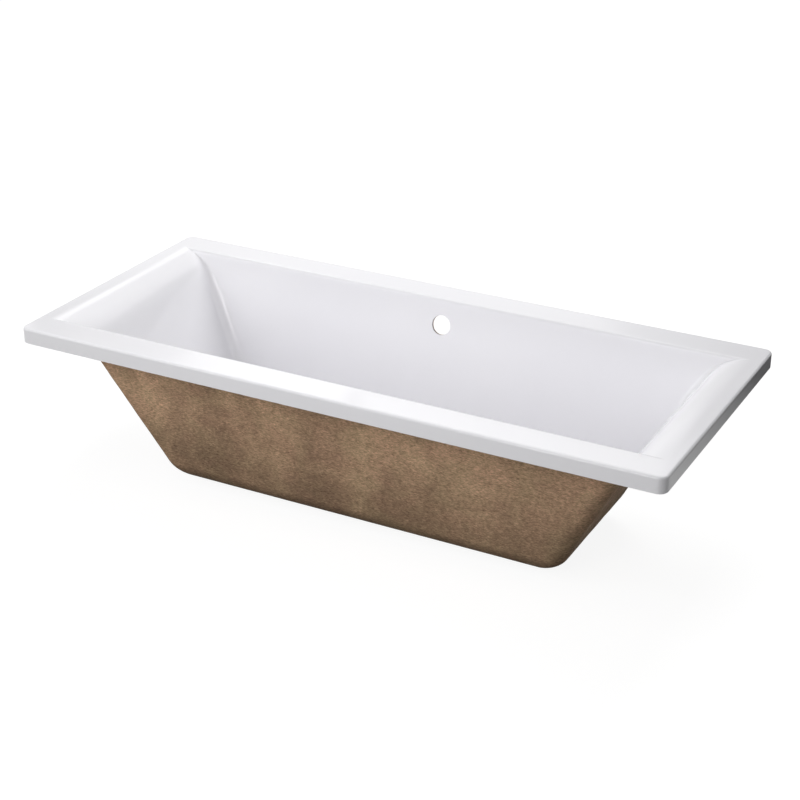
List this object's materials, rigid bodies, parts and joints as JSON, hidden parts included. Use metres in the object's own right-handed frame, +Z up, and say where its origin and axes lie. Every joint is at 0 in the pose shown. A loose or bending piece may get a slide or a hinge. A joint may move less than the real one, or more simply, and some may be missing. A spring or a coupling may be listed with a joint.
{
  "type": "built-in bathtub",
  "caption": "Double-ended rectangular bath for building in: a glossy white acrylic well with sloping ends, a flat rim and a skirt, backed by brown sprayed laminate and a base board.",
  "frame": {"origin": "on the floor, under the middle of the bath, at the underside of the base", "axes": "+X along the bath's length, +Y towards the side with the overflow hole, +Z up"},
  "size_m": [1.7, 0.75, 0.4445],
  "materials": {
    "acrylic": "formed acrylic sheet, white, high gloss",
    "laminate": "sprayed glass fibre and resin, brown, rolled down by hand, semi-matt",
    "board": "raw particle board",
    "timber": "sawn softwood"
  },
  "bodies": {
    "root": {"acrylic_shell": "acrylic", "wall_laminate": "laminate", "base_board": "board", "base_overlay": "laminate", "front_rim_batten": "timber", "rear_rim_batten": "timber", "left_rim_batten": "timber", "right_rim_batten": "timber", "rim_overlay": "laminate"}
  },
  "joints": []
}
